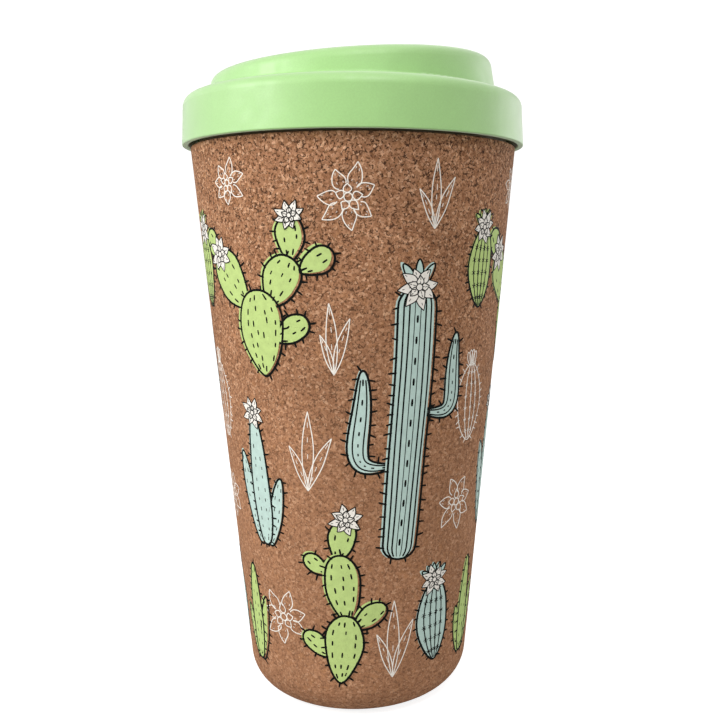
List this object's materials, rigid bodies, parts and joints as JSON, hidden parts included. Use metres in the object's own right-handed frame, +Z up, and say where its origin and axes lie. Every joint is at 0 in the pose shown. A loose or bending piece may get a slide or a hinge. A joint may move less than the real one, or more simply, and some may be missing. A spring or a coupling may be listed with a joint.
{
  "type": "travel cup",
  "caption": "Tapered cork-sleeved double-wall travel cup with a press-on slanted-lip lid and a hinged sip flap.",
  "frame": {"origin": "centre of the cup's base, on the surface it stands on", "axes": "+Z up along the cup's axis, +X towards the drinking side, where the lid's lip is highest"},
  "size_m": [0.09, 0.09, 0.1703],
  "materials": {
    "cork": "matte agglomerated cork",
    "lid_green": "satin moulded plastic",
    "cup_plastic": "satin moulded plastic",
    "wall_plastic": "satin moulded plastic",
    "silicone": "matte silicone",
    "steel": "brushed"
  },
  "bodies": {
    "cup": {"cork_sleeve": "cork", "cork_base": "cork", "outer_wall": "wall_plastic", "inner_cup": "cup_plastic"},
    "lid": {"lid_cap": "lid_green", "lid_insert": "cup_plastic", "lid_seal": "silicone", "flap_pin": "steel"},
    "flap": {"sip_flap": "lid_green", "flap_stopper": "silicone"}
  },
  "joints": [
    {"name": "lid_lift", "type": "slide", "parent": "cup", "child": "lid", "axis": [0, 0, 1], "range_m": [0, 0.06]},
    {"name": "flap_turn", "type": "hinge", "parent": "lid", "child": "flap", "pos_m": [0.002, 0, 0.1642], "axis": [0, -1, 0], "range_deg": [0, 180]}
  ]
}
